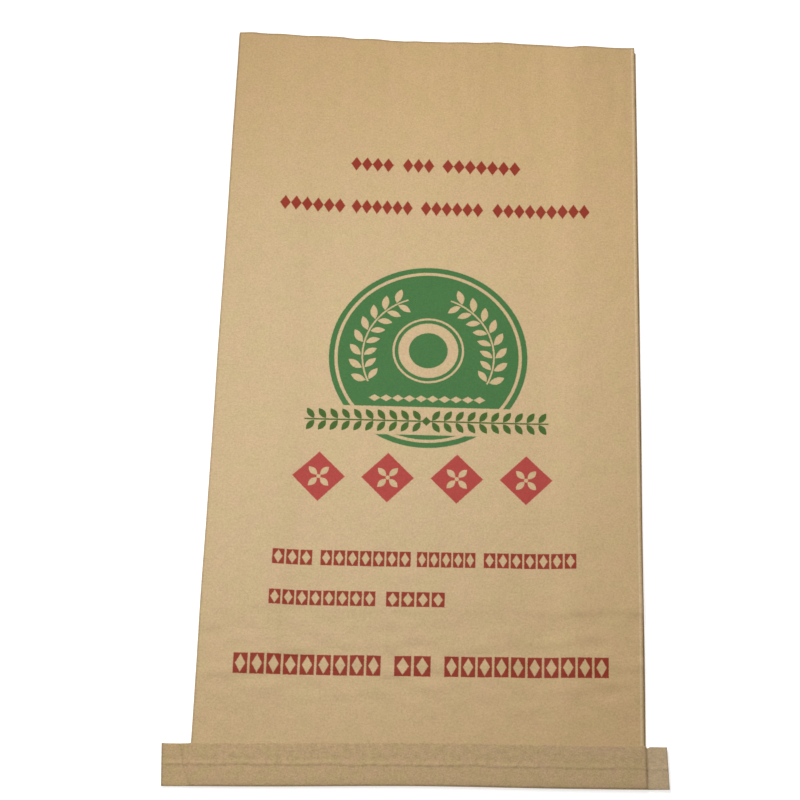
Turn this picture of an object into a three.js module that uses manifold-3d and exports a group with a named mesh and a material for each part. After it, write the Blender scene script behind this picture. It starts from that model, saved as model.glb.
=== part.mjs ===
// An empty kraft sack for dry goods, lying flat with its printed side up.
// It is a gusseted tube, open at the mouth (+Y) and pressed flat. A folded tape closes the bottom end.
// Millimetres. X runs across the sack, Y from the taped bottom to the mouth, Z up from the table.
import * as THREE from 'three';
import { mergeVertices } from 'three/addons/utils/BufferGeometryUtils.js';
import Module from 'manifold-3d';

// Driving dimensions of the sack
const PANEL_WIDTH = 400;      // front and back panels, from side fold to side fold
const SACK_LENGTH = 768;      // from the tape's bottom fold to the middle of the mouth
const GUSSET_DEPTH = 75;      // each side is folded inwards by this much
const MIDDLE_HEIGHT = 4.2;    // height of the front panel where it lies on the back panel
const GUSSET_HEIGHT = 7.5;    // and where the gussets lie between the two
const GUSSET_BLEND = 40;      // the front panel climbs onto a gusset over this width
const GUSSET_GAP = 2.6;       // gap between the two gusset plies at a side fold

// How it lies: the mouth is a little to the right, its left corner further out than its right one
const MOUTH_LEAN = 8.2;
const MOUTH_SKEW = 14;
const MOUTH_FLARE = 3.8;      // how much wider the tube lies at the mouth
const MOUTH_WAVE = 1.2;       // height of the shallow waves across the mouth
const WAVE_PITCH = 118;
const WAVE_CREST = 17.7;      // one crest lies this far to the right of the middle
const WAVE_REACH = 260;       // how far the waves run down from the mouth
const BACK_SHIFT = 1.6;       // the back panel lies this far to the right of the front panel
const BACK_SHORT = 5;         // and its edge at the mouth stops this far short of the front one

// Driving dimensions of the tape
const TAPE_WIDTH = 38;        // one face, half of the unfolded tape
const TAPE_WALL = 0.8;
const LEFT_EAR = 24.9;        // the tape runs past the sack by this much at each end
const RIGHT_EAR = 20.7;
const LEFT_EAR_SLANT = 1.9;   // the cut ends are out of square by this much
const RIGHT_EAR_SLANT = 1.2;
const EAR_THICKNESS = 1.6;
const EAR_LIFT = 1.2;         // the ears' underside above the table
const SHOULDER = 1.5;         // the tape keeps its full height this far past the sack's edge
const EAR_STEP = 5;           // and drops to the ear over this much
const FOLD_ROUNDING = 0.28;   // of the tape's fold, as a share of its thickness there
const STACK_HEIGHT = 3;       // all the sack's plies pressed together under the tape
const STACK_CROWN = 0.15;     // the stack is this much thicker in its middle than at its sides
const SEAM_HEIGHT = 19.5;     // the sewn line under the tape, above the bottom fold
const SEAM_RISE = 0.6;        // the ridge that the thread lifts along it
const RIDGE_ABOVE = 4;        // the ridge slopes gently towards the mouth over this much
const RIDGE_BELOW = 1;        // and steeply towards the fold over this much
const GAP = 0.3;              // between the tape and the sack

const HALF = PANEL_WIDTH / 2;
const STACK_BASE = TAPE_WALL + GAP;
const STACK_TOP = STACK_BASE + STACK_HEIGHT;
const TAPE_TOP = STACK_TOP + GAP + TAPE_WALL;
const SACK_END = STACK_BASE + 0.1;             // where the sack ends inside the tape's fold
const FOOT_START = TAPE_WIDTH + 1.5;           // the sack starts to swell just above the tape
const FOOT_RISE = 80;
const NOSE = 1.6;                              // how far the rounding of a side fold reaches in
const FOOT_GUSSET = 3 * NOSE;                  // depth of the slit that the gusset leaves under the tape

// Fineness: columns across the front panel, and rings along each length
const FRONT_COLUMNS = 26;
const FOOT_RINGS = 7;
const BODY_RINGS = 44;
const TAPE_RINGS = 24;

const KRAFT = new THREE.MeshStandardMaterial({ color: 0xcbb086, roughness: 0.88, metalness: 0 });
const TAPE_KRAFT = new THREE.MeshStandardMaterial({ color: 0xb09670, roughness: 0.92, metalness: 0 });

const mix = (a, b, share) => a + (b - a) * share;

function smooth(x) {
  const share = Math.min(1, Math.max(0, x));
  return share * share * (3 - 2 * share);
}

// Closed body through a row of rings. Each ring has points in space and the same points as a flat outline.
function loft(rings) {
  const size = rings[0].points.length;
  const position = rings.flatMap((ring) => ring.points.flat());
  const index = [];
  for (let ring = 0; ring + 1 < rings.length; ring++) {
    for (let corner = 0; corner < size; corner++) {
      const a = ring * size + corner;
      const b = ring * size + (corner + 1) % size;
      index.push(a, b, b + size);
      index.push(a, b + size, a + size);
    }
  }
  const last = (rings.length - 1) * size;
  for (const [a, b, c] of capTriangles(rings[0].outline)) index.push(c, b, a);
  for (const [a, b, c] of capTriangles(rings.at(-1).outline)) index.push(a + last, b + last, c + last);
  const geometry = new THREE.BufferGeometry();
  geometry.setAttribute('position', new THREE.Float32BufferAttribute(position, 3));
  geometry.setIndex(index);
  return geometry;
}

// Triangles of a flat outline, all turned the way the outline runs
function capTriangles(outline) {
  const corners = outline.map(([u, v]) => new THREE.Vector2(u, v));
  const turn = Math.sign(THREE.ShapeUtils.area(corners));
  return THREE.ShapeUtils.triangulateShape(corners, []).map(([a, b, c]) => {
    const area = THREE.ShapeUtils.area([corners[a], corners[b], corners[c]]);
    return Math.sign(area) === turn ? [a, b, c] : [a, c, b];
  });
}

// ---- The sack ----

// A point of the flattened tube: across and along are measured on the paper, and back is 0 on
// the front panel and 1 on the back panel
function onSack(across, along, height, back) {
  const share = Math.max(0, along - TAPE_WIDTH) / (SACK_LENGTH - TAPE_WIDTH);
  const wide = 1 + share * MOUTH_FLARE / PANEL_WIDTH;
  const x = across * wide + share * MOUTH_LEAN + back * BACK_SHIFT;
  const y = along - share * (MOUTH_SKEW * across / PANEL_WIDTH + back * BACK_SHORT);
  return [x, y, height];
}

// The foot swells from the pressed stack under the tape to the full height of the sack
const swell = (along) => smooth((along - FOOT_START) / FOOT_RISE);

function mouthWave(across, along) {
  const near = smooth((along - SACK_LENGTH + WAVE_REACH) / WAVE_REACH);
  return MOUTH_WAVE * near * Math.cos(2 * Math.PI * (across - WAVE_CREST) / WAVE_PITCH);
}

function frontHeight(across, along) {
  const stack = STACK_TOP - STACK_CROWN * (across / HALF) ** 2;
  const pastInnerFold = Math.abs(across) - (HALF - GUSSET_DEPTH);
  const overGusset = smooth(pastInnerFold / GUSSET_BLEND + 0.5);
  const sack = mix(MIDDLE_HEIGHT, GUSSET_HEIGHT, overGusset) + mouthWave(across, along);
  return mix(stack, sack, swell(along));
}

const backHeight = (along) => mix(STACK_BASE, 0, swell(along));

// The two lips of one side, from the front panel's fold to the back panel's: side is 1 or -1.
// Each point has its place across, its height, and its back value
function sideProfile(side, along) {
  const full = swell(along);
  const top = frontHeight(side * (HALF - NOSE), along);
  const base = backHeight(along);
  const gap = mix(GAP, GUSSET_GAP + (top - GUSSET_HEIGHT), full);
  const lip = (top - base - gap) / 2;
  const depth = mix(FOOT_GUSSET, GUSSET_DEPTH, full);
  const apex = base + (frontHeight(side * (HALF - depth), along) - base) / 2;
  return [
    [side * HALF, top - lip / 2, 0],
    [side * (HALF - NOSE), top - lip, 0],
    [side * (HALF - depth), apex, 0.5],
    [side * (HALF - NOSE), base + lip, 1],
    [side * HALF, base + lip / 2, 1],
    [side * (HALF - NOSE), base, 1],
  ];
}

// One ring round the tube: over the front panel, down the right side, back below, up the left side
function sackRing(along) {
  const profile = [];
  for (let column = 0; column <= FRONT_COLUMNS; column++) {
    const across = mix(-HALF + NOSE, HALF - NOSE, column / FRONT_COLUMNS);
    profile.push([across, frontHeight(across, along), 0]);
  }
  profile.push(...sideProfile(1, along));
  profile.push(...sideProfile(-1, along).reverse());
  return {
    points: profile.map(([across, height, back]) => onSack(across, along, height, back)),
    outline: profile.map(([across, height]) => [across, height]),
  };
}

function makeSack() {
  const bodyStart = FOOT_START + FOOT_RISE;
  const places = [SACK_END];
  for (let ring = 0; ring < FOOT_RINGS; ring++) {
    places.push(mix(FOOT_START, bodyStart, ring / FOOT_RINGS));
  }
  for (let ring = 0; ring <= BODY_RINGS; ring++) {
    places.push(mix(bodyStart, SACK_LENGTH, ring / BODY_RINGS));
  }
  return loft(places.map(sackRing));
}

// ---- The tape ----

// Outline of the folded tape seen from its end: down the top face, round the fold, back below
function tapeProfile(base, top) {
  const middle = (base + top) / 2;
  const round = (top - base) * FOLD_ROUNDING;
  return [
    [TAPE_WIDTH, top],
    [SEAM_HEIGHT + RIDGE_ABOVE, top],
    [SEAM_HEIGHT + RIDGE_ABOVE / 2, top + SEAM_RISE * 0.7],
    [SEAM_HEIGHT, top + SEAM_RISE],
    [SEAM_HEIGHT - RIDGE_BELOW, top],
    [round * 2, top],
    [round * 0.5, top - round],
    [0, middle],
    [round * 0.5, base + round],
    [round * 2, base],
    [TAPE_WIDTH, base],
  ];
}

function tapeRing(x, base, top, slant) {
  const outline = tapeProfile(base, top);
  return {
    points: outline.map(([y, z]) => [x + slant * (0.5 - y / TAPE_WIDTH), y, z]),
    outline,
  };
}

function tapeRings() {
  const left = -HALF - SHOULDER;
  const right = HALF + BACK_SHIFT + SHOULDER;
  const earTop = EAR_LIFT + EAR_THICKNESS;
  const rings = [
    tapeRing(-HALF - LEFT_EAR, EAR_LIFT, earTop, LEFT_EAR_SLANT),
    tapeRing(left - EAR_STEP, EAR_LIFT, earTop, 0),
  ];
  for (let ring = 0; ring <= TAPE_RINGS; ring++) {
    rings.push(tapeRing(mix(left, right, ring / TAPE_RINGS), 0, TAPE_TOP, 0));
  }
  rings.push(
    tapeRing(right + EAR_STEP, EAR_LIFT, earTop, 0),
    tapeRing(HALF + RIGHT_EAR, EAR_LIFT, earTop, RIGHT_EAR_SLANT),
  );
  return rings;
}

// The folded tape with the room for the sack taken out of it, open towards the mouth
async function makeTape() {
  const wasm = await Module();
  wasm.setup();
  const roomLength = 2 * TAPE_WIDTH;
  const room = new THREE.BoxGeometry(
    PANEL_WIDTH + BACK_SHIFT + 2 * GAP, roomLength, STACK_HEIGHT + 2 * GAP);
  room.translate(BACK_SHIFT / 2, SACK_END - GAP + roomLength / 2, STACK_BASE + STACK_HEIGHT / 2);
  const tape = solid(wasm, loft(tapeRings())).subtract(solid(wasm, room));
  return geometryOf(tape.getMesh());
}

function solid(wasm, geometry) {
  geometry.deleteAttribute('normal');
  geometry.deleteAttribute('uv');
  const welded = mergeVertices(geometry);
  return new wasm.Manifold(new wasm.Mesh({
    numProp: 3,
    vertProperties: new Float32Array(welded.attributes.position.array),
    triVerts: new Uint32Array(welded.index.array),
  }));
}

function geometryOf(mesh) {
  const geometry = new THREE.BufferGeometry();
  geometry.setAttribute('position', new THREE.BufferAttribute(mesh.vertProperties, 3));
  geometry.setIndex(new THREE.BufferAttribute(mesh.triVerts, 1));
  return geometry;
}

// ---- The whole sack ----

function named(name, geometry, material) {
  const mesh = new THREE.Mesh(geometry, material);
  mesh.name = name;
  return mesh;
}

const sack = new THREE.Group();
sack.add(named('sack', makeSack(), KRAFT));
sack.add(named('bottom_tape', await makeTape(), TAPE_KRAFT));

// The origin is on the table under the middle of the whole outline
const box = new THREE.Box3().setFromObject(sack);
sack.position.set(-(box.min.x + box.max.x) / 2, -(box.min.y + box.max.y) / 2, -box.min.z);

export default sack;
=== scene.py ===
# An empty kraft sack for dry goods, lying flat on a pale table with its printed side up.
# Metres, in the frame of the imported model: X across the printed side, Y from the taped bottom to
# the mouth, Z up from the table.
import math

import bpy
import numpy as np
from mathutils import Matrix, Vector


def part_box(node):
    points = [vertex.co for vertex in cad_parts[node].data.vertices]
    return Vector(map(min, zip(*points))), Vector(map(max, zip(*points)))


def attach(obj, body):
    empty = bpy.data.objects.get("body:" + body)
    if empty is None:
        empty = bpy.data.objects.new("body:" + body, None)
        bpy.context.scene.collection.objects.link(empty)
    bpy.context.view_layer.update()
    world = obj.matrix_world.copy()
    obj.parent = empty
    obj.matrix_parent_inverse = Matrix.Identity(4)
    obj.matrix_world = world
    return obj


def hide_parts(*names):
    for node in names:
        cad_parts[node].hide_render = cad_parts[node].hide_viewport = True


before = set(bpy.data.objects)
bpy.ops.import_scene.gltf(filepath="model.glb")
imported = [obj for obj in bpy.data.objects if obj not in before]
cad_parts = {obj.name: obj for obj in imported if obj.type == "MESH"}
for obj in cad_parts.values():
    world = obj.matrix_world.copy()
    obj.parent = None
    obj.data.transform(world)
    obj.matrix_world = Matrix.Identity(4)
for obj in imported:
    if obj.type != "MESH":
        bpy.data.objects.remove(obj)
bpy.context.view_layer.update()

MM = 0.001
tape_low, tape_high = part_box("bottom_tape")

# ---- Camera ----
# The photograph looks down on the printed side from above the tape, through a long lens, and frames
# the sack a little to the right of its own middle.
PANEL_WIDTH = 400 * MM            # front and back panels, from side fold to side fold
HALF = PANEL_WIDTH / 2
LEFT_EAR = 24.9 * MM              # how far the tape runs past the sack at its left end
LEFT_EAR_SLANT = 1.9 * MM         # that end slants by this much over the tape's width
MIDDLE = tape_low.x + LEFT_EAR_SLANT / 2 + LEFT_EAR + HALF    # the sack's own middle line at the tape
BOTTOM = tape_low.y                                           # the tape's bottom fold
PRINT_HEIGHT = 5 * MM             # of the printed side above the table, roughly

SENSOR = 36                       # mm
LENS = 90                         # mm
SIDEWAYS_SHIFT = -0.05            # of the picture's width
CAMERA_ASIDE = 24.0 * MM          # the camera stands this far right of the middle line,
CAMERA_BACK = 368.3 * MM          # this far this side of the tape
CAMERA_RISE = 1742.0 * MM         # and this high above the printed side
CAMERA_TILT = (math.radians(22.917), math.radians(-0.012), math.radians(0.645))

camera_data = bpy.data.cameras.new("camera")
camera_data.sensor_width = SENSOR
camera_data.lens = LENS
camera_data.shift_x = SIDEWAYS_SHIFT
camera = bpy.data.objects.new("camera", camera_data)
camera.location = (MIDDLE + CAMERA_ASIDE, BOTTOM - CAMERA_BACK, PRINT_HEIGHT + CAMERA_RISE)
camera.rotation_euler = CAMERA_TILT
bpy.context.scene.collection.objects.link(camera)
bpy.context.scene.camera = camera

# ---- Sack ----
# A tube of brown kraft paper laminated to a woven plastic fabric, glued along a lap in the middle of
# its back. Both sides are folded in as gussets, the mouth (+Y) is cut open, and the whole tube is
# pressed flat. Only its front panel is printed, in red and green.
SACK_LENGTH = 768 * MM            # from the tape's bottom fold to the middle of the mouth
GUSSET_DEPTH = 75 * MM
GIRTH = 2 * PANEL_WIDTH + 4 * GUSSET_DEPTH    # once round the open tube
PAPER = 0.35 * MM                 # one ply of the laminate
MIDDLE_HEIGHT = 4.2 * MM          # height of the front panel where it lies on the back panel
GUSSET_HEIGHT = 7.5 * MM          # and where the gussets lie between the two
GUSSET_BLEND = 40 * MM            # the front panel slopes between the two over this much
GUSSET_GAP = 2.6 * MM             # gap between the two gusset plies at a side fold
FOOT_GAP = 0.3 * MM               # and where the tape presses them together
NOSE = 1.6 * MM                   # how far the rounding of a side fold reaches in
MOUTH_LEAN = 8.2 * MM             # the mouth lies this far to the right of the bottom
MOUTH_SKEW = 14 * MM              # its left corner is this much further out than its right one
MOUTH_FLARE = 3.8 * MM            # the tube lies this much wider at the mouth
MOUTH_WAVE = 1.2 * MM             # height of the shallow waves across the mouth
WAVE_PITCH = 118 * MM
WAVE_CREST = 17.7 * MM            # one crest lies this far right of the middle
WAVE_REACH = 260 * MM             # how far the waves run down from the mouth
MOUTH_CURL = 0.7 * MM             # the front's cut edge curls down by this much
CURL_REACH = 6 * MM
CUT_REACH = 12 * MM               # how far the scallops of the cut edge reach down the panel
SIDE_WANDER = 0.12 * MM           # the side folds wander in and out by this much
SIDE_WANDER_PITCH = 130 * MM
BACK_APART = 0.3                  # and the back's folds like the front's that far away, in metres
BACK_SHIFT = 1.6 * MM             # the back panel lies this far to the right of the front one
BACK_SHORT = 5 * MM               # and its edge at the mouth stops this far short
LAP_WIDTH = 30 * MM               # the glued lap down the middle of the back
LAP_STEP = 0.3 * MM
LAP_BLEND = 20 * MM               # the back panel slopes up to the lap over this much
TOUCH = 0.05 * MM                 # gap between faces that lie on each other
TAPE_WIDTH = 38 * MM              # one face of the folded tape
TAPE_WALL = 0.5 * MM
TAPE_TOP = 5.2 * MM
TAPE_BASE = 0.3 * MM
SACK_END = 5 * MM                 # the sack ends here inside the tape's fold
FOOT_START = TAPE_WIDTH + 1.5 * MM    # the sack swells from its pressed foot just above the tape
FOOT_RISE = 80 * MM
FOOT_TOP = TAPE_TOP - TAPE_WALL - TOUCH
FOOT_BASE = TAPE_BASE + TAPE_WALL + TOUCH
END_TAPER = 0.5 * MM              # sack and tape are pressed this much thinner at the tape's fold
TAPER_LENGTH = 6 * MM
CRUMPLED_FOOT = 200 * MM          # the foot is crumpled up to here, and fully so this much below it
CRUMPLED_FOOT_FADE = 110 * MM
STREAKED_MOUTH = 540 * MM         # the mouth is streaked from here on, and fully so this much above it
STREAKED_MOUTH_FADE = 180 * MM
GUSSET_MARK = 0.18 * MM           # the gussets' inner folds show through as steps of this height
GUSSET_MARK_WIDTH = 2.5 * MM
GUSSET_MARK_CHANGE = 0.8          # the step varies by this share
GUSSET_MARK_PITCH = 61 * MM       # and by one radian over this length

# Soft creases, where the face steps down towards the foot: the places that each runs through, in mm on
# the paper, across from the middle and along from the tape's fold, then its height and width in mm.
# The first two are the mark of a fold across the whole sack.
CREASES = (
    (((-210, 146), (-181, 153), (-155, 157), (35, 157), (76, 160), (104, 156), (210, 158)), 0.8, 4.0),
    (((96, 157), (116, 153), (130, 154), (157, 158), (171, 160), (210, 158)), 0.9, 2.8),
    (((-210, 442), (-150, 442)), 0.5, 4.0),
    (((-104, 180), (-62, 201)), 0.4, 3.0),
    (((-50, 214), (-2, 226)), 0.4, 3.0),
    (((50, 125), (79, 125), (118, 142)), 0.5, 3.0),
    (((56, 61), (80, 70), (100, 66), (126, 75)), 0.6, 3.0),
    (((118, 88), (150, 96), (182, 92)), 0.5, 3.0),
    (((-92, 40), (-70, 76)), 0.4, 3.0),
    (((-170, 741), (-140, 739)), 0.4, 3.0),
)
CREASE_FADE = 45 * MM             # above a crease the face sinks back over this much
CREASE_END = 12 * MM              # and at both of its ends the crease fades out over this much
# Upright dents near the mouth: middle across, from and to along, depth and width, all in mm
DENTS = (
    (-94, 690, 752, 0.35, 7),
    (-44, 712, 762, 0.30, 6),
    (24, 655, 705, 0.22, 8),
    (175, 655, 712, 0.28, 7),
)
DENT_END = 15                     # mm, over which a dent fades out at its top and its bottom
# How the cut of the mouth departs from straight: middle across, how far out and how wide, in mm
MOUTH_SCALLOPS = ((-200, -1.3, 9), (-133, -1.3, 13), (-84, -1.2, 11), (-38, -0.8, 13), (5, -1.5, 28),
                  (66, 2.0, 16), (94, 0.9, 17), (134, -3.2, 16), (174, -1.6, 24))


def smooth(x):
    share = np.clip(x, 0, 1)
    return share * share * (3 - 2 * share)


def mix(a, b, share):
    return a + (b - a) * share


def hump(x, width):
    return np.exp(-((x / width) ** 2))


def unevenness(across, along, pitch, height, seed):
    """Shallow waves in all directions, as in paper that has been handled"""
    rng = np.random.default_rng(seed)
    waves = rng.uniform((0, 0.7, 0), (math.tau, 1.5, math.tau), (9, 3))    # nine: direction, length and start
    total = 0
    for turn, length, phase in waves:
        distance = across * math.cos(turn) + along * math.sin(turn)
        total = total + np.sin(distance * math.tau / (pitch * length) + phase)
    return height * total / math.sqrt(len(waves))


def crease(across, along, points, height, width):
    """A step along a line that runs across the face. It fades at both of its ends."""
    line_across, line_along = np.array(points).T * MM
    above = np.maximum(0, along - np.interp(across, line_across, line_along))
    run = smooth((across - line_across[0]) / CREASE_END) * smooth((line_across[-1] - across) / CREASE_END)
    return height * MM * run * (1 - np.exp(-above / (width * MM))) * np.exp(-above / CREASE_FADE)


def swell(along):
    """0 in the pressed foot, 1 where the tube has its full height"""
    return smooth((along - FOOT_START) / FOOT_RISE)


def relief(across, along):
    """How the front panel rises and sinks by its creases, dents and waves"""
    at_foot = smooth((CRUMPLED_FOOT - along) / CRUMPLED_FOOT_FADE)
    at_mouth = smooth((along - STREAKED_MOUTH) / STREAKED_MOUTH_FADE)
    total = unevenness(across, along, pitch=150 * MM, height=0.22 * MM, seed=4)
    total = total + unevenness(across, along, pitch=52 * MM, height=0.16 * MM, seed=5)
    total = total + at_foot * unevenness(across * 0.5, along, pitch=20 * MM, height=0.60 * MM, seed=6)
    total = total + at_mouth * unevenness(across, along * 0.3, pitch=15 * MM, height=0.20 * MM, seed=7)
    for points, height, width in CREASES:
        total = total + crease(across, along, points, height, width)
    for middle, start, end, depth, width in DENTS:
        run = smooth((along / MM - start) / DENT_END) * smooth((end - along / MM) / DENT_END)
        total = total - depth * MM * run * hump(across / MM - middle, width)
    inner_fold = HALF - GUSSET_DEPTH
    for side in (-1, 1):
        step = GUSSET_MARK * np.tanh((across * side - inner_fold) / GUSSET_MARK_WIDTH)
        total = total + step * (1 + GUSSET_MARK_CHANGE * np.sin(along / GUSSET_MARK_PITCH + side))
    return total


def front_height(across, along):
    over_gusset = smooth((np.abs(across) - HALF + GUSSET_DEPTH + GUSSET_BLEND / 2) / GUSSET_BLEND)
    near_mouth = smooth((along - SACK_LENGTH + WAVE_REACH) / WAVE_REACH)
    wave = MOUTH_WAVE * near_mouth * np.cos(math.tau * (across - WAVE_CREST) / WAVE_PITCH)
    curl = MOUTH_CURL * smooth((along - SACK_LENGTH + CURL_REACH) / CURL_REACH) ** 2
    body = mix(MIDDLE_HEIGHT, GUSSET_HEIGHT, over_gusset) + wave + relief(across, along) - curl
    foot = FOOT_TOP - END_TAPER * (1 - smooth(along / TAPER_LENGTH))
    return mix(foot, body, swell(along))


def back_height(across, along):
    overlap = smooth((LAP_WIDTH / 2 + LAP_BLEND - across) / LAP_BLEND) * (across > -LAP_WIDTH / 2)
    return mix(FOOT_BASE, LAP_STEP * (1 - overlap), swell(along))


def on_sack(across, along, height, back):
    """A point of the flattened tube. Back is 0 on the front panel and 1 on the back panel."""
    share = np.maximum(0, along - TAPE_WIDTH) / (SACK_LENGTH - TAPE_WIDTH)
    wander = unevenness(0 * across, along + back * BACK_APART, SIDE_WANDER_PITCH, SIDE_WANDER, seed=8)
    x = across * (1 + share * MOUTH_FLARE / PANEL_WIDTH) + wander * across / HALF
    x = x + share * MOUTH_LEAN + back * BACK_SHIFT
    y = along - share * (MOUTH_SKEW * across / PANEL_WIDTH + back * BACK_SHORT)
    at_cut = smooth((along - SACK_LENGTH + CUT_REACH) / CUT_REACH)
    for middle, out, width in MOUTH_SCALLOPS:
        y = y + at_cut * (1 - back) * out * MM * hump(across / MM - middle, width)
    return np.stack((MIDDLE + x, BOTTOM + y, height), -1)


def side_profile(side, along, inset, fold_steps, gusset_steps):
    """One side, from the front panel's fold through the gusset to the back panel's fold"""
    full = swell(along)
    top = front_height(np.array(side * (HALF - NOSE)), along)
    base = back_height(np.array(side * (HALF - NOSE)), along)
    gap = mix(FOOT_GAP, GUSSET_GAP + (top - GUSSET_HEIGHT), full)
    lip = (top - base - gap) / 2
    depth = mix(3 * NOSE, GUSSET_DEPTH, full)
    apex = base + (front_height(np.array(side * (HALF - depth)), along) - base) / 2
    turn = np.linspace(math.pi / 2, -math.pi / 2, fold_steps + 1)
    inwards = np.linspace(0, 1, gusset_steps + 1)[1:]
    rounded = HALF - NOSE + (NOSE - inset) * np.cos(turn)
    fold_paper = mix(-NOSE, NOSE, (1 - np.sin(turn)) / 2)
    tip = TOUCH + inset
    ply_across = mix(HALF - NOSE, HALF - depth - inset, inwards)
    across = (rounded, ply_across, ply_across[::-1], rounded)
    height = (
        top - lip / 2 + (lip / 2 - inset) * np.sin(turn),
        mix(top - lip + inset, apex + tip, inwards),
        mix(base + lip - inset, apex - tip, inwards)[::-1],
        base + lip / 2 + (lip / 2 - inset) * np.sin(turn),
    )
    ply_paper = mix(NOSE, GUSSET_DEPTH, inwards)
    paper = (fold_paper, ply_paper, 2 * GUSSET_DEPTH - ply_paper[::-1], 2 * GUSSET_DEPTH + fold_paper)
    back = (0 * turn, inwards / 2, 1 - inwards[::-1] / 2, 0 * turn + 1)
    across, height, paper, back = (np.concatenate(part) for part in (across, height, paper, back))
    return side * across, height, paper, back


BACK_POINTS = 14                  # on each half of the back panel, from its side fold to the lap


def tube_ring(along, inset, front_steps, fold_steps, gusset_steps):
    """One ring round the tube: front, right side, back, left side. Its last point meets its first."""
    front = np.linspace(-HALF + NOSE, HALF - NOSE, front_steps + 1)[1:-1]
    lap = LAP_WIDTH / 2
    back_right = np.linspace(HALF - NOSE, lap, BACK_POINTS)[1:]
    back_left = np.linspace(-lap, -HALF + NOSE, BACK_POINTS)[1:-1]
    back = np.concatenate((back_right, (0, -lap + TOUCH, -lap - TOUCH), back_left))
    right = side_profile(1, along, inset, fold_steps, gusset_steps)
    left = [part[::-1] for part in side_profile(-1, along, inset, fold_steps, gusset_steps)]
    front_top = front_height(front, along) - inset
    back_base = back_height(back, along) + inset
    back_paper = HALF + 2 * GUSSET_DEPTH + (HALF - back)
    across = np.concatenate((front, right[0], back, left[0]))
    height = np.concatenate((front_top, right[1], back_base, left[1]))
    paper = np.concatenate((front, HALF + right[2], back_paper, GIRTH - HALF - left[2]))
    turned = np.concatenate((0 * front, right[3], 0 * back + 1, left[3]))
    return on_sack(across, along, height, turned), paper


def tube_wall(rows, inset, steps):
    """Corners and paper coordinates of one face of the tube, ring by ring"""
    rings = [tube_ring(along, inset, *steps) for along in rows]
    places = np.stack([ring[0] for ring in rings])
    paper = np.stack([np.stack((ring[1], 0 * ring[1] + along), -1) for ring, along in zip(rings, rows)])
    return places, paper


def quads(ring_count, size, first, outwards):
    ring, column = np.meshgrid(np.arange(ring_count - 1), np.arange(size), indexing="ij")
    following = (column + 1) % size
    corners = np.stack((ring * size + column, (ring + 1) * size + column,
                        (ring + 1) * size + following, ring * size + following), -1).reshape(-1, 4) + first
    return corners[:, ::-1] if outwards else corners


# The outside is fine enough for the creases. The inside, which hardly shows, has a quarter of the rows
# and columns, and the cut edges at both ends join the two.
FINE = dict(front_steps=160, fold_steps=6, gusset_steps=10)
COARSE = dict(front_steps=40, fold_steps=3, gusset_steps=5)
outer_rows = np.concatenate(((SACK_END, 9 * MM, 13 * MM, 20 * MM),
                             np.arange(TAPE_WIDTH, SACK_LENGTH - 4 * MM, 2.5 * MM),
                             np.linspace(SACK_LENGTH - 3 * MM, SACK_LENGTH, 4)))
inner_rows = np.append(outer_rows[:-1:4], SACK_LENGTH)
outer_places, outer_paper = tube_wall(outer_rows, 0, FINE.values())
inner_places, inner_paper = tube_wall(inner_rows, PAPER, COARSE.values())
outer_size, inner_size = outer_places.shape[1], inner_places.shape[1]
inner_first = outer_places.shape[0] * outer_size
corners = np.concatenate((outer_places.reshape(-1, 3), inner_places.reshape(-1, 3)))
flat = np.concatenate((outer_paper.reshape(-1, 2), inner_paper.reshape(-1, 2)))
outer_faces = quads(len(outer_rows), outer_size, 0, True)
inner_faces = quads(len(inner_rows), inner_size, inner_first, False)
faces = outer_faces.tolist() + inner_faces.tolist()

# Which outer columns lie over each inner column, for the cut edges
front_match = list(range(3, FINE["front_steps"] - 1, 4))
side_start = FINE["front_steps"] - 1
fold_match = list(range(0, FINE["fold_steps"] + 1, 2))
ply_match = list(range(1, FINE["gusset_steps"], 2))
fold_size, ply_size = FINE["fold_steps"] + 1, FINE["gusset_steps"]
side_size = 2 * fold_size + 2 * ply_size
side_match = fold_match + [fold_size + k for k in ply_match]
side_match += [fold_size + ply_size + k - 1 for k in ply_match]
side_match += [fold_size + 2 * ply_size + k for k in fold_match]
back_size = outer_size - side_start - 2 * side_size
left_start = side_start + side_size + back_size
match = front_match + [side_start + k for k in side_match]
match += [side_start + side_size + k for k in range(back_size)]
match += [left_start + side_size - 1 - k for k in side_match[::-1]]
for outer_ring, inner_ring, at_mouth in ((0, 0, False), (len(outer_rows) - 1, len(inner_rows) - 1, True)):
    for column, start in enumerate(match):
        end = match[(column + 1) % inner_size]
        count = (end - start) % outer_size
        outside = [outer_ring * outer_size + (start + k) % outer_size for k in range(count + 1)]
        inside = [inner_first + inner_ring * inner_size + (column + k) % inner_size for k in (1, 0)]
        face = outside + inside
        faces.append(face if at_mouth else face[::-1])


def mesh_piece(name, corners, faces, flat, wrap):
    """A mesh whose "paper" map holds each corner's place on the flat paper, which goes round once in wrap"""
    mesh = bpy.data.meshes.new(name)
    mesh.from_pydata(np.asarray(corners).tolist(), [], faces)
    loop_vertex = np.zeros(len(mesh.loops), np.int64)
    mesh.loops.foreach_get("vertex_index", loop_vertex)
    places = flat[loop_vertex].copy()
    starts = np.zeros(len(mesh.polygons), np.int64)
    totals = np.zeros(len(mesh.polygons), np.int64)
    mesh.polygons.foreach_get("loop_start", starts)
    mesh.polygons.foreach_get("loop_total", totals)
    furthest = np.repeat(np.maximum.reduceat(places[:, 0], starts), totals)
    places[:, 0] += wrap * (furthest - places[:, 0] > wrap / 2)
    mesh.uv_layers.new(name="paper").data.foreach_set("uv", places.ravel())
    mesh.validate()
    mesh.shade_smooth()
    mesh.set_sharp_from_angle(angle=math.radians(50))
    piece = bpy.data.objects.new(name, mesh)
    bpy.context.scene.collection.objects.link(piece)
    return piece


paper_sack = mesh_piece("paper_sack", corners, faces, flat, GIRTH)

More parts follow.
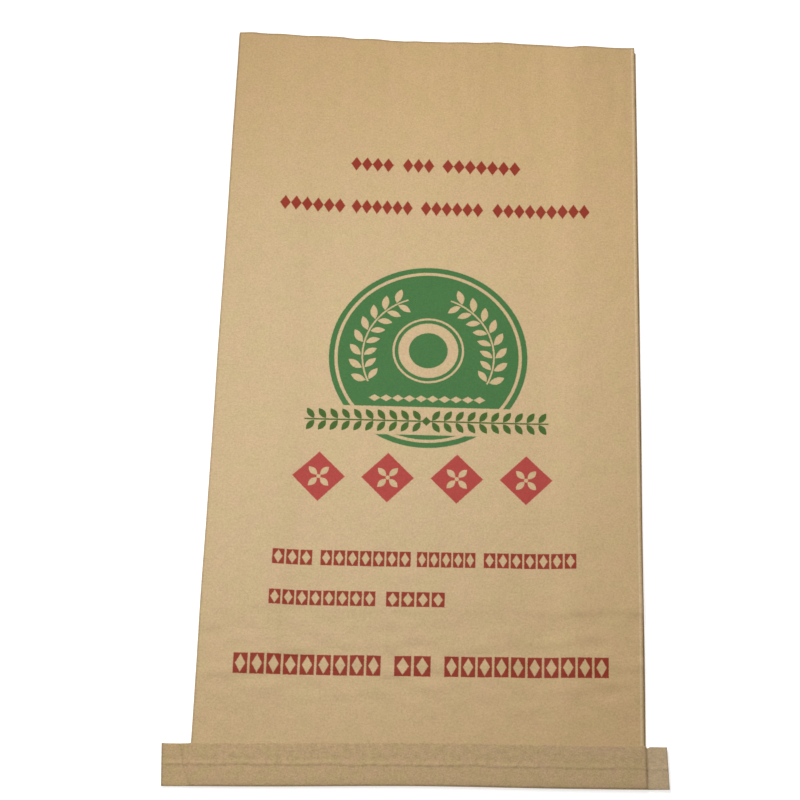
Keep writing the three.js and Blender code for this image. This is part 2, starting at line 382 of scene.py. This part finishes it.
BRIGHTNESS = 1.3                  # how brightly the sack is lit: at 1, white paper would look just white


class Value:
    """A number of a node tree, on which arithmetic is written as on a plain number"""

    def __init__(self, tree, node, output):
        self.tree, self.maker, self.socket = tree, node, output

    def math(self, operation, *others, clamp=False):
        return self.tree.node("ShaderNodeMath", {"operation": operation, "use_clamp": clamp}, self, *others)

    def __add__(self, other):
        return self.math("ADD", other)

    def __sub__(self, other):
        return self.math("SUBTRACT", other)

    def __rsub__(self, other):
        return self.tree.node("ShaderNodeMath", {"operation": "SUBTRACT"}, other, self)

    def __mul__(self, other):
        return self.math("MULTIPLY", other)

    def __truediv__(self, other):
        return self.math("DIVIDE", other)

    def __pow__(self, power):
        return self.math("POWER", power)

    def __neg__(self):
        return self * -1

    def __abs__(self):
        return self.math("ABSOLUTE")

    __radd__ = __add__
    __rmul__ = __mul__

    def least(self, other):
        return self.math("MINIMUM", other)

    def most(self, other):
        return self.math("MAXIMUM", other)

    def sine(self):
        return self.math("SINE")

    def local(self, pitch):
        """Place within its own stretch of that pitch, from the stretch's middle"""
        return self.tree.node("ShaderNodeMath", {"operation": "WRAP"}, self, pitch, 0.0) - pitch / 2

    def fold(self, reach):
        """Distance to the nearest multiple of twice the reach"""
        return self.math("PINGPONG", reach)

    def cover(self, softness):
        """1 where the value is above 0, and 0 below, with a soft edge of that width"""
        return (self / softness).math("ADD", 0.5, clamp=True)

    def bell(self):
        """1 at 0, and falling to 0 on both sides"""
        return (self * self * -1).math("EXPONENT")

    def output(self, name):
        return Value(self.tree, self.maker, self.maker.outputs[name])


class Tree:
    """The nodes of one material or of one geometry tree"""

    def __init__(self, node_tree):
        self.node_tree = node_tree

    def node(self, kind, settings=(), *values, **named):
        """A new node: its settings come first, then numbers or links for its sockets, in order or by name"""
        node = self.node_tree.nodes.new(kind)
        for setting, value in dict(settings).items():
            setattr(node, setting, value)
        usable = [socket for socket in node.inputs if socket.enabled]
        by_name = {socket.name.replace(" ", "_").lower(): socket for socket in usable}
        given = [*zip(usable, values), *((by_name[name], value) for name, value in named.items())]
        for socket, value in given:
            if isinstance(value, Value):
                self.node_tree.links.new(value.socket, socket)
            elif value is not None:
                socket.default_value = value
        shown = [socket for socket in node.outputs if socket.enabled]
        return Value(self, node, shown[0] if shown else None)

    def blend(self, share, a, b):
        """From colour a to colour b"""
        return self.node("ShaderNodeMix", {"data_type": "RGBA"}, share, a, b)

    def step(self, value, start, end):
        """Rises smoothly from 0 at start to 1 at end"""
        smoothly = {"interpolation_type": "SMOOTHSTEP"}
        return self.node("ShaderNodeMapRange", smoothly, value, start, end, 0.0, 1.0)

    def place(self, x, y, z=0.0):
        return self.node("ShaderNodeCombineXYZ", (), x, y, z)

    def noise(self, place, pitch, detail=2.0, roughness=0.5):
        """Soft noise from 0 to 1, whose patches are about pitch wide"""
        return self.node("ShaderNodeTexNoise", (), vector=place, scale=1 / pitch,
                         detail=detail, roughness=roughness)


def tone(red, green, blue):
    """A colour as it is seen in the bright light here, 0 to 255, as the linear values of the paper itself"""
    linear = [((c / 255 + 0.055) / 1.055) ** 2.4 / BRIGHTNESS for c in (red, green, blue)]
    return (*linear, 1.0)


def new_finish(name):
    """A material with its tree, its surface shader, and the place on the flat paper in mm"""
    material = bpy.data.materials.new(name)
    material.use_nodes = True
    material.node_tree.nodes.clear()
    tree = Tree(material.node_tree)
    surface = tree.node("ShaderNodeBsdfPrincipled")
    tree.node("ShaderNodeOutputMaterial", (), surface)
    spot = tree.node("ShaderNodeSeparateXYZ", (), tree.node("ShaderNodeUVMap", {"uv_map": "paper"}))
    return material, tree, surface.maker, spot / MM, spot.output("Y") / MM


def kraft(tree, across, along, pale, deep, patch, grain):
    """Kraft paper: cloudy patches between two tones, with fine fibres. Gives colour, shade and fibres."""
    clouds = tree.noise(tree.place(across, along), patch, detail=3.0)
    fibres = tree.noise(tree.place(across * 0.85, along), grain, detail=2.0, roughness=0.7)
    specks = tree.noise(tree.place(across, along, 7.0), grain * 0.7, detail=1.0)
    colour = tree.blend(tree.step(clouds, 0.30, 0.70), pale, deep)
    shade = 1 + (fibres - 0.5) * FIBRE_CONTRAST + (specks - 0.5) * SPECK_CONTRAST
    return colour, shade, fibres


def shaded(tree, colour, shade):
    return tree.node("ShaderNodeVectorMath", {"operation": "SCALE"}, colour, scale=shade)


KRAFT_PALE = tone(207, 172, 126)
KRAFT_DEEP = tone(204, 173, 122)
KRAFT_WORN = tone(228, 205, 167)
FIBRE_CONTRAST, SPECK_CONTRAST = 0.44, 0.30
PAINTED_SHEEN_TINT = (0.988, 1.073, 1.236, 1.0)       # painted sheen: round a place left of its middle the paper is paler and greyer, as under the lamp's broad reflection
SHEEN_ACROSS, SHEEN_ALONG = -120, 330         # that place, in mm
SHEEN_FULL, SHEEN_NONE = 100.0, 480.0         # full this far from it, in mm, and gone by there
RED_LINE_INK = tone(145, 35, 6)
RED_DIAMOND_INK = tone(174, 56, 50)
GREEN_INK = tone(54, 111, 53)
GARLAND_INK = tone(52, 93, 14)

sack_paper, tree, surface, across, along = new_finish("printed_kraft")
across = (across + GIRTH / MM / 2).local(GIRTH / MM)      # from the front's middle both ways to the lap

# The print, in mm on the paper. Red lines: bottom edge, height, and each run's start, end and count
LOZENGE_LINES = (
    (613.0, 16.0, ((-81, -39, 4), (-30, 1, 3), (9, 86, 7))),
    (565.3, 16.0, ((-149, -85, 6), (-79, -19, 6), (-11, 50, 6), (59, 154, 9))),
)
TILE_LINES = (
    (202.5, 14.5, ((-138, -100, 3), (-94, -10, 7), (-6, 49, 5), (55, 141, 7))),
    (164.5, 14.0, ((-139, -41, 8), (-33, 22, 4))),
    (100.0, 18.8, ((-168, -34, 9), (-24, 11, 2), (21, 170, 10))),
)
BLOCK_FILL = 0.86                 # a block fills this share of its pitch
EYE_WIDTH, EYE_HEIGHT = 0.62, 0.86    # and its bare lozenge these shares of the pitch and of the height
LOZENGE_SLANT, EYE_SLANT = 0.82, 0.5  # what turns the lozenges' shares into mm across their slanting edges
DIAMOND_FIRST, DIAMOND_PITCH, DIAMOND_LINE, DIAMOND_REACH = -98.8, 64.27, 289.2, 24.5
PETAL_MIDDLE, PETAL_REACH, PETAL_WIDTH = 7.6, 5.6, 2.9    # four bare petals in each diamond
HEART = 1.9                       # and the bare dot where they meet
ROUNDEL_LINE = 413.7              # the roundel's middle
RING_OUTER, RING_INNER, DISC = 94.3, 89.0, 86.0
HUB_LINE = ROUNDEL_LINE + 6       # the middle of the hoop and of the collar within it
HOOP_OUTER, HOOP_INNER = 34.0, 32.0
COLLAR_OUTER, COLLAR_INNER = 28.5, 18.5
WREATH = 62.5                     # radius of its stems
WREATH_END = math.radians(116)    # bearing of its foot from the top
STEM = 0.75                       # half the width of a stem
BEAD_LINE, BEAD_HALF, BEAD_HEIGHT, BEADS_END = 369.5, 5.5, 3.4, 55.0
BEAD_SLANT = 3.0
BAND_LOW, BAND_HIGH = 332.5, 361.0
GARLAND_LINE = 346.5
GARLAND_START = 3.5
KNOT = 4.6
SLANTED = math.sqrt(0.5)
BLEED = 0.7                       # soft edge of the ink
RAGGED = 0.9                      # how far the ink's edge strays

ragged = (tree.noise(tree.place(across, along), 1.6, detail=2.0) - 0.5) * RAGGED


def runs(line, shape):
    """Measure of one printed line, above 0 on its ink: a row of like shapes for each run"""
    low, height, spans = line
    off = abs(along - (low + height / 2))
    total = None
    for start, end, count in spans:
        pitch = (end - start) / count
        from_joint = (across - start).fold(pitch / 2)
        within = (across - start).least(end - across)
        ink = shape(from_joint, off, pitch / 2, height / 2).least(within)
        total = ink if total is None else total.most(ink)
    return total


def lozenge(from_joint, off, half_pitch, half_height):
    return (from_joint / half_pitch - off / half_height) * (half_pitch * LOZENGE_SLANT)


def tile(from_joint, off, half_pitch, half_height):
    """An upright block with a bare lozenge in its middle"""
    aside = half_pitch - from_joint
    block = (half_pitch * BLOCK_FILL - aside).least(half_height - off)
    eye = 1 - aside / (half_pitch * EYE_WIDTH) - off / (half_height * EYE_HEIGHT)
    return block.least(-(eye * (half_pitch * EYE_SLANT)))


def leaves(stem, aside, pitch, count, width, centre, reach, lean):
    """Measure of pairs of leaves that lean forward along a stem, above 0 on a leaf or on the stem"""
    out = abs(aside)
    forward, outward = stem.local(pitch), out - centre
    blade_along = forward * math.sin(lean) + outward * math.cos(lean)
    blade_aside = forward * math.cos(lean) - outward * math.sin(lean)
    blade = (1 - (blade_along / reach) ** 2.0) * width - abs(blade_aside)
    return blade.most(STEM - out).least(stem).least(count * pitch - stem)


red_lines = None
for lines, shape in ((LOZENGE_LINES, lozenge), (TILE_LINES, tile)):
    for line in lines:
        ink = runs(line, shape)
        red_lines = ink if red_lines is None else red_lines.most(ink)
aside = (across - (DIAMOND_FIRST - DIAMOND_PITCH)).fold(DIAMOND_PITCH / 2)
off = abs(along - DIAMOND_LINE)
row_middle = DIAMOND_FIRST + 1.5 * DIAMOND_PITCH
diamond = (DIAMOND_REACH - aside - off) * SLANTED
diamond = diamond.least(2 * DIAMOND_PITCH - abs(across - row_middle))
petal_along = (aside + off) * SLANTED
petal_aside = abs(aside - off) * SLANTED
petals = (1 - ((petal_along - PETAL_MIDDLE) / PETAL_REACH) ** 2.0) * PETAL_WIDTH - petal_aside
heart = HEART - (aside * aside + off * off) ** 0.5
diamond = diamond.least(-petals.most(heart))

rise = along - ROUNDEL_LINE
from_centre = (across * across + rise * rise) ** 0.5
ring = (RING_OUTER - from_centre).least(from_centre - RING_INNER)
green = ring.most(DISC - from_centre)
bearing = abs(tree.node("ShaderNodeMath", {"operation": "ARCTAN2"}, across, rise))
wreath = leaves((WREATH_END - bearing) * WREATH, from_centre - WREATH,
                pitch=13.2, count=8, width=3.2, centre=7.2, reach=7.3, lean=math.radians(38))
hub_rise = along - HUB_LINE
from_hub = (across * across + hub_rise * hub_rise) ** 0.5
hoop = (HOOP_OUTER - from_hub).least(from_hub - HOOP_INNER)
collar = (COLLAR_OUTER - from_hub).least(from_hub - COLLAR_INNER)
beads = across.fold(BEAD_HALF) / BEAD_HALF - abs(along - BEAD_LINE) / BEAD_HEIGHT
beads = beads.least(BEADS_END - abs(across)) * BEAD_SLANT
bare = wreath.most(hoop).most(collar).most(beads)
green = green.least(-bare)
green = green.least((along - BAND_HIGH).most(BAND_LOW - along))
off = along - GARLAND_LINE
garland = leaves(abs(across) - GARLAND_START, off,
                 pitch=11.1, count=10, width=3.0, centre=5.9, reach=6.2, lean=math.radians(35))
knot = (KNOT - abs(across) - abs(off)) * SLANTED
garland = garland.most(knot)

# Wear and painted shade, in mm: the right fold's rounding is rubbed pale, and the left fold's rounding and
# the curled cut edge are darkened with painted shade
WEAVE_PITCH = 2.5                 # of the fabric under the paper
RUBBED_LINE = HALF / MM - 2.6
RUBBED_FULL, RUBBED_NONE = 0.7, 1.7
RUBBED_SHARE = 0.55               # how far the rubbed paper goes to its worn tone
FOLD_SHADE_FULL, FOLD_SHADE_NONE = 1.4, 3.0
CUT_SHADE_START, CUT_SHADE_END = 764.8, 767.0
CUT_SHADE_SHARE = 0.7            # the cut edge gets this much of the painted shade, where the left fold gets 1
WEAR_AND_SHADE_STRAY = 0.8                  # how far the rubbed line and the painted shade along the folds stray
PAINTED_SHADE = 0.20                    # how much the painted shade darkens, and how much more near the mouth
PAINTED_SHADE_MORE = 0.12
PAINTED_SHADE_START, PAINTED_SHADE_END = 450.0, 760.0
BLOTCHINESS = 0.11
THIN_INK = 0.04                   # where the ink is thin, this share of the paper shows through
PAPER_ROUGHNESS, INK_SMOOTHING, FIBRE_ROUGHNESS = 0.72, 0.06, 0.08
WEAVE_SHADE = 0.012
FIBRE_HEIGHT, WEAVE_HEIGHT, CRUMPLE_HEIGHT = 0.04 * MM, 0.012 * MM, 0.8 * MM

paper, shade, fibres = kraft(tree, across, along, KRAFT_PALE, KRAFT_DEEP, patch=24.0, grain=1.9)
warp = (across * (math.tau / WEAVE_PITCH)).sine()
weft = (along * (math.tau / WEAVE_PITCH)).sine()
weave = warp * weft
# Painted sheen: the paper is tinted paler and greyer round a place left of the middle, where the lamp's
# reflection falls
from_sheen = ((across - SHEEN_ACROSS) ** 2.0 + (along - SHEEN_ALONG) ** 2.0) ** 0.5
painted_sheen = tree.step(from_sheen, SHEEN_NONE, SHEEN_FULL)
tinted = {"data_type": "RGBA", "blend_type": "MULTIPLY"}
paper = tree.node("ShaderNodeMix", tinted, painted_sheen, paper, PAINTED_SHEEN_TINT)
stray = tree.noise(tree.place(across, along), 9.0) * WEAR_AND_SHADE_STRAY
rubbed = tree.step(abs(across - RUBBED_LINE) + stray, RUBBED_NONE, RUBBED_FULL)
paper = tree.blend(rubbed * RUBBED_SHARE, paper, KRAFT_WORN)
# Painted shade on the left fold's rounding and on the down-curled cut edge of the mouth, stronger towards the
# mouth
fold_painted_shade = tree.step(abs(across + HALF / MM) + stray, FOLD_SHADE_NONE, FOLD_SHADE_FULL)
cut_painted_shade = tree.step(along, CUT_SHADE_START, CUT_SHADE_END)
painted_shade = tree.step(along, PAINTED_SHADE_START, PAINTED_SHADE_END) * PAINTED_SHADE_MORE + PAINTED_SHADE
blotches = tree.noise(tree.place(across, along, 3.0), 8.0, detail=2.0)
shade = shade - fold_painted_shade.most(cut_painted_shade * CUT_SHADE_SHARE) * painted_shade + (blotches - 0.5) * BLOTCHINESS
cover_lines = (red_lines + ragged).cover(BLEED)
cover_diamonds = (diamond + ragged).cover(BLEED)
cover_green = (green + ragged).cover(BLEED)
cover_garland = (garland + ragged).cover(BLEED)
thin = tree.noise(tree.place(across, along), 3.2, detail=3.0)
strength = 1 - THIN_INK + thin * THIN_INK
printed = tree.blend(cover_lines * strength, paper, RED_LINE_INK)
printed = tree.blend(cover_diamonds * strength, printed, RED_DIAMOND_INK)
printed = tree.blend(cover_green * strength, printed, GREEN_INK)
printed = tree.blend(cover_garland * strength, printed, GARLAND_INK)
inked = cover_lines.most(cover_diamonds).most(cover_green).most(cover_garland)
printed = shaded(tree, printed, shade + weave * WEAVE_SHADE)
tree.node_tree.links.new(printed.socket, surface.inputs["Base Color"])
roughness = PAPER_ROUGHNESS - inked * INK_SMOOTHING + (fibres - 0.5) * FIBRE_ROUGHNESS
tree.node_tree.links.new(roughness.socket, surface.inputs["Roughness"])
surface.inputs["Specular IOR Level"].default_value = 0.25    # paper is duller than most surfaces
crumple = tree.noise(tree.place(across, along), 16.0, detail=4.0, roughness=0.55)
height = fibres * FIBRE_HEIGHT + weave * WEAVE_HEIGHT + crumple * CRUMPLE_HEIGHT
bump = tree.node("ShaderNodeBump", (), strength=1.0, distance=1.0, height=height)
tree.node_tree.links.new(bump.socket, surface.inputs["Normal"])
paper_sack.data.materials.append(sack_paper)

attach(paper_sack, "root")
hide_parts("sack")

# ---- Bottom tape ----
# A strip of darker crepe kraft, folded over the pressed end of the tube and sewn through, with both
# ends left standing past the sack as ears. The thread lies under the strip and lifts a low ridge.
LEFT_END, RIGHT_END = tape_low.x, tape_high.x
RIGHT_EAR_SLANT = 1.2 * MM        # the right end slants by this much over the tape's width
SLANT_NONE, SLANT_FULL = 190 * MM, 220 * MM    # both slants set in between these distances from the middle
EAR_TOP = 2.8 * MM                # heights of the ears' two faces above the table
EAR_BASE = 1.2 * MM
EAR_LIFT = 1.2 * MM               # the right ear's tip stands up by this much
SHOULDER= 1.0 * MM               # the full height ends this far inside the sack's edge
LEFT_DROP = 5 * MM                # and drops to the ear over this much, steeply at the right
RIGHT_DROP = 2.2 * MM
NOTCH = 1.5 * MM                  # the right step draws the tape's upper edge in by this much
NOTCH_WIDTH = 1.1 * MM
NOTCH_POWER = 12.0                # and only close to that edge
FOLD_DEPTH = 1.4 * MM             # how far the rounding of the bottom fold reaches in
FOLD_GIRTH = 3.4 * MM             # half of the paper that the rounding takes up
BOW = 1.6 * MM                    # the middle of the sewn end lies this much nearer the mouth
BOW_WIDTH = 100 * MM
BOW_START = 0.3 * MM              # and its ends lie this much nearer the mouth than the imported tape's
TAPE_TURN = 0.0033                # and the tape is turned by this slope
EDGE_WAVE = 3.6 * MM              # the upper edge wanders within this much
EDGE_WAVE_PITCH = 34 * MM
FACE_SWELL = 0.5 * MM             # and the front face rises and sinks within this much
FACE_SWELL_PITCH = 35 * MM
SEAM_LINE = 19.5 * MM             # the sewn line, from the bottom fold, at the sack's left side
SEAM_DRIFT = 1.5 * MM             # from the middle on it lies this much nearer the fold
SEAM_RISE = 0.78 * MM             # height of its ridge, which falls to the right
SEAM_FALL = 0.2 * MM
SEAM_WOBBLE = 3.6 * MM
WOBBLE_PITCH = 32 * MM
RIDGE_BELOW = 1.1 * MM            # the ridge climbs over this much below the sewn line
RIDGE_CREST = 0.2 * MM            # and sinks again from here to there above it
RIDGE_ABOVE = 4.5 * MM
RIDGE_BEHIND = 0.3                # share of it that shows on the back
STITCH_PITCH = 9.5 * MM           # the ridge is a little higher over each stitch
STITCH_SWELL = 0.25
EAR_CREASE = MIDDLE - HALF - 10.1 * MM    # an upright crease in the left ear, where it meets the upper edge
EAR_CREASE_LEAN = 10.9 * MM       # at the bottom fold it is this much further right, under the sack's side
EAR_CREASE_DEPTH = 0.4 * MM
EAR_CREASE_WIDTH = 1.2 * MM
EAR_CREASE_WOBBLE = 0.8 * MM

LEFT_SHOULDER = MIDDLE - HALF + SHOULDER
RIGHT_SHOULDER = MIDDLE + HALF + BACK_SHIFT - SHOULDER


def tape_heights(tree, x):
    """Heights of the tape's top and base along X, over the sack and down onto both ears"""
    past_left = tree.step(x, LEFT_SHOULDER, LEFT_SHOULDER - LEFT_DROP)
    past_right = tree.step(x, RIGHT_SHOULDER, RIGHT_SHOULDER + RIGHT_DROP)
    ear = past_left.most(past_right)
    lift = tree.step(x, RIGHT_SHOULDER + RIGHT_DROP, RIGHT_END) * EAR_LIFT
    return TAPE_TOP - ear * (TAPE_TOP - EAR_TOP) + lift, TAPE_BASE + ear * (EAR_BASE - TAPE_BASE) + lift


def seam_y(tree, x):
    """How far the sewn line lies from the bottom fold"""
    wobble = tree.noise(tree.place(x, 0.0), WOBBLE_PITCH, detail=3.0, roughness=0.45) - 0.5
    return SEAM_LINE - tree.step(x, LEFT_SHOULDER, MIDDLE) * SEAM_DRIFT + wobble * SEAM_WOBBLE


def ear_crease(share):
    """X of the crease in the left ear, from the bottom fold, 0, to the upper edge, 1"""
    return (share * 9.0).sine() * EAR_CREASE_WOBBLE + (1 - share) * EAR_CREASE_LEAN + EAR_CREASE


def grow(name, inputs, build):
    """Runs a geometry tree with named inputs on a new object and returns its result as a plain mesh object"""
    group = bpy.data.node_groups.new(name, "GeometryNodeTree")
    sockets = {}
    for label, (kind, _) in inputs.items():
        sockets[label] = group.interface.new_socket(name=label, in_out="INPUT", socket_type=kind)
    group.interface.new_socket(name="Geometry", in_out="OUTPUT", socket_type="NodeSocketGeometry")
    tree = Tree(group)
    source = tree.node("NodeGroupInput")
    result = build(tree, {label: source.output(label) for label in inputs})
    tree.node("NodeGroupOutput", (), result)
    maker = bpy.data.objects.new(name + "_maker", bpy.data.meshes.new(name + "_maker"))
    bpy.context.scene.collection.objects.link(maker)
    modifier = maker.modifiers.new("geometry", "NODES")
    modifier.node_group = group
    for label, (_, value) in inputs.items():
        modifier[sockets[label].identifier] = value
    bpy.context.view_layer.update()
    evaluated = maker.evaluated_get(bpy.context.evaluated_depsgraph_get())
    mesh = bpy.data.meshes.new_from_object(evaluated)
    mesh.name = name
    piece = bpy.data.objects.new(name, mesh)
    bpy.context.scene.collection.objects.link(piece)
    maker.modifiers.remove(modifier)
    bpy.data.objects.remove(maker)
    return piece


TAPE_PALE = tone(197, 165, 125)
TAPE_DEEP = tone(191, 165, 118)
EAR_GREY = tone(200, 175, 140)    # the right ear is greyer
UPPER_HALF_START, UPPER_HALF_END = 18.0, 22.0    # mm from the fold: past the sewn line the strip is
MOTTLING, MOTTLING_MORE = 0.26, 0.14             # more mottled
UPPER_HALF_SHADE = 0.02                          # and a little darker
LEFT_END_AT_FOLD = (LEFT_END - MIDDLE) / MM + 1.7    # place of the left end, in mm from the middle
END_GRIME, CREASE_DIRT_AND_SHADE = 0.20, 0.12             # how much that end is darkened, and the ear's crease by dirt and painted shade
CREPE_ROUGHNESS, CREPE_FIBRE_ROUGHNESS = 0.92, 0.06
CREPE_FIBRE_CONTRAST = 0.3
CREPE_HEIGHT, CREPE_FIBRE_HEIGHT, MOTTLE_HEIGHT = 0.09 * MM, 0.05 * MM, 0.35 * MM

tape_paper, tree, surface, across, along = new_finish("crepe_kraft")
strip, shade, fibres = kraft(tree, across, along, TAPE_PALE, TAPE_DEEP, patch=15.0, grain=1.6)
ear_start = (RIGHT_SHOULDER - MIDDLE + RIGHT_DROP / 2) / MM
past_right = tree.step(across, ear_start, ear_start + 1)
strip = tree.blend(past_right * 0.8, strip, EAR_GREY)
mottle = tree.noise(tree.place(across, along), 5.0, detail=3.0)
upper_half = tree.step(along, UPPER_HALF_START, UPPER_HALF_END)
shade = shade + (mottle - 0.5) * (upper_half * MOTTLING_MORE + MOTTLING) - upper_half * UPPER_HALF_SHADE
shade = shade + (fibres - 0.5) * CREPE_FIBRE_CONTRAST
from_end = across - (LEFT_END_AT_FOLD - abs(along) * (LEFT_EAR_SLANT / TAPE_WIDTH))
shade = shade - tree.step(from_end, 2.6, 1.2) * END_GRIME
# Dirt and painted shade in the left ear's crease, darker than its shallow groove alone would make it
from_crease = abs(across - ear_crease(along * (MM / TAPE_WIDTH)) / MM + MIDDLE / MM)
past_fold = tree.step(along, 2.0, 5.0)
shade = shade - tree.step(from_crease, 1.5, 0.3) * past_fold * CREASE_DIRT_AND_SHADE
tree.node_tree.links.new(shaded(tree, strip, shade).socket, surface.inputs["Base Color"])
roughness = CREPE_ROUGHNESS + (fibres - 0.5) * CREPE_FIBRE_ROUGHNESS
tree.node_tree.links.new(roughness.socket, surface.inputs["Roughness"])
crepe = tree.noise(tree.place(across, along * 0.5), 1.3, detail=2.0)
height = crepe * CREPE_HEIGHT + fibres * CREPE_FIBRE_HEIGHT + mottle * MOTTLE_HEIGHT
bump = tree.node("ShaderNodeBump", (), strength=1.0, distance=1.0, height=height)
tree.node_tree.links.new(bump.socket, surface.inputs["Normal"])


def folded_strip(tree, size):
    """A flat strip folded round the end of the sack. Its own Y runs from the back edge to the front edge."""
    grid = tree.node("GeometryNodeMeshGrid", (), size["Length"], size["Width"], size["Columns"], size["Rows"])
    own = tree.node("ShaderNodeSeparateXYZ", (), tree.node("GeometryNodeInputPosition"))
    along_strip, across_strip = own, own.output("Y")
    out = abs(across_strip)
    turn = (across_strip / FOLD_GIRTH).least(1.0).most(-1.0) * (math.pi / 2)
    face_y = (1 - turn.math("COSINE")) * FOLD_DEPTH + (out - FOLD_GIRTH).most(0.0)
    share = face_y / TAPE_WIDTH
    right_slant = tree.step(along_strip, SLANT_NONE, SLANT_FULL) * RIGHT_EAR_SLANT
    left_slant = tree.step(along_strip, -SLANT_NONE, -SLANT_FULL) * LEFT_EAR_SLANT
    x = along_strip + (LEFT_END + RIGHT_END) / 2 + (right_slant + left_slant) * (0.5 - share)
    edge_wave = (tree.noise(tree.place(x, 0.0), EDGE_WAVE_PITCH, detail=3.0) - 0.5) * EDGE_WAVE
    bow = ((x - MIDDLE) / BOW_WIDTH).bell() * BOW + (x - MIDDLE) * TAPE_TURN + BOW_START
    notch = ((x - RIGHT_SHOULDER - RIGHT_DROP) / NOTCH_WIDTH).bell() * NOTCH * share ** NOTCH_POWER
    y = face_y + BOTTOM + edge_wave * share + bow - notch
    past_seam = face_y - seam_y(tree, x)
    ridge_height = SEAM_RISE - tree.step(x, MIDDLE, RIGHT_SHOULDER) * SEAM_FALL
    ridge_rise = tree.step(past_seam, -RIDGE_BELOW, 0.0)
    ridge_fall = tree.step(past_seam, RIDGE_ABOVE, RIDGE_CREST)
    stitches = 0.85 + (x * (math.tau / STITCH_PITCH)).sine() * STITCH_SWELL
    ridge = ridge_rise * ridge_fall * ridge_height * stitches
    groove = ((x - ear_crease(share)) / EAR_CREASE_WIDTH).bell() * EAR_CREASE_DEPTH
    swell_here = (tree.noise(tree.place(x, across_strip), FACE_SWELL_PITCH, detail=1.0) - 0.5) * FACE_SWELL
    front = tree.step(across_strip, 0.0, FOLD_GIRTH)
    bumps = front * (ridge - groove + swell_here) - (1 - front) * ridge * RIDGE_BEHIND
    top, base = tape_heights(tree, x)
    on_stack = (top - EAR_TOP) / (TAPE_TOP - EAR_TOP)
    top = top - tree.step(face_y, TAPER_LENGTH, 0.0) * on_stack.most(0.0) * END_TAPER
    z = (top + base) / 2 + turn.sine() * ((top - base) / 2) + bumps
    flat = tree.place(x - MIDDLE, across_strip)
    kept = tree.node("GeometryNodeStoreNamedAttribute", {"data_type": "FLOAT2", "domain": "CORNER"}, grid,
                     name="paper", value=flat)
    bent = tree.node("GeometryNodeSetPosition", (), kept, position=tree.place(x, y, z))
    whole = tree.node("GeometryNodeRealizeInstances", (), bent)
    return tree.node("GeometryNodeSetMaterial", (), whole, material=tape_paper)


bottom_tape = grow("folded_tape", {
    "Length": ("NodeSocketFloat", RIGHT_END - LEFT_END - (LEFT_EAR_SLANT + RIGHT_EAR_SLANT) / 2),
    "Width": ("NodeSocketFloat", 2 * (TAPE_WIDTH - FOLD_DEPTH + FOLD_GIRTH)),
    "Columns": ("NodeSocketInt", 380),
    "Rows": ("NodeSocketInt", 84),
}, folded_strip)
bottom_tape.data.shade_smooth()
wall = bottom_tape.modifiers.new("wall", "SOLIDIFY")
wall.thickness = TAPE_WALL
wall.offset = -1
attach(bottom_tape, "root")
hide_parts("bottom_tape")

# ---- Table and light ----
# A plain white table under a long soft lamp that hangs slantwise above the middle of the sack. A window
# beyond the mouth lights the creases from one side, and the white room fills the rest. The table glows
# a little, so that it stays white right to the picture's edges.
HALF_TABLE = 4.0                  # half of the table's side
TABLE_Z = -0.2 * MM
TABLE_GREY = 0.6
TABLE_GLOW = 0.65
LAMP_WIDTH, LAMP_LENGTH = 0.25, 0.92
LAMP_PLACE = (-0.087, 0.058, 0.7)
LAMP_TURN = math.radians(-30)
LAMP_POWER = 5.4                  # W
WINDOW_PLACE = (-1.2, 2.0, 2.0)
WINDOW_ANGLE = math.radians(20)   # how wide the window looks from the sack
WINDOW_STRENGTH = 1.2
ROOM_STRENGTH = 0.22

table_mesh = bpy.data.meshes.new("table")
table_corners = [(x * HALF_TABLE, y * HALF_TABLE, TABLE_Z) for x, y in ((-1, -1), (1, -1), (1, 1), (-1, 1))]
table_mesh.from_pydata(table_corners, [], [(0, 1, 2, 3)])
table = bpy.data.objects.new("table", table_mesh)
table_material = bpy.data.materials.new("table")
table_material.use_nodes = True
table_surface = table_material.node_tree.nodes["Principled BSDF"]
table_surface.inputs["Base Color"].default_value = (TABLE_GREY, TABLE_GREY, TABLE_GREY, 1)
table_surface.inputs["Roughness"].default_value = 0.9
table_surface.inputs["Emission Color"].default_value = (1, 1, 1, 1)
table_surface.inputs["Emission Strength"].default_value = TABLE_GLOW
table_mesh.materials.append(table_material)
bpy.context.scene.collection.objects.link(table)

lamp_data = bpy.data.lights.new("lamp", "AREA")
lamp_data.shape = "RECTANGLE"
lamp_data.size = LAMP_WIDTH
lamp_data.size_y = LAMP_LENGTH
lamp_data.energy = LAMP_POWER
lamp = bpy.data.objects.new("lamp", lamp_data)
lamp.location = LAMP_PLACE
lamp.rotation_euler = (0, 0, LAMP_TURN)
bpy.context.scene.collection.objects.link(lamp)

window_data = bpy.data.lights.new("window", "SUN")
window_data.angle = WINDOW_ANGLE
window_data.energy = WINDOW_STRENGTH
window = bpy.data.objects.new("window", window_data)
window.location = WINDOW_PLACE
window.rotation_euler = (-window.location).to_track_quat("-Z", "Y").to_euler()
bpy.context.scene.collection.objects.link(window)

world = bpy.data.worlds.new("studio")
world.use_nodes = True
room_light = world.node_tree.nodes["Background"]
room_light.inputs["Color"].default_value = (1, 1, 1, 1)
room_light.inputs["Strength"].default_value = ROOM_STRENGTH
bpy.context.scene.world = world
bpy.context.scene.view_settings.view_transform = "Standard"
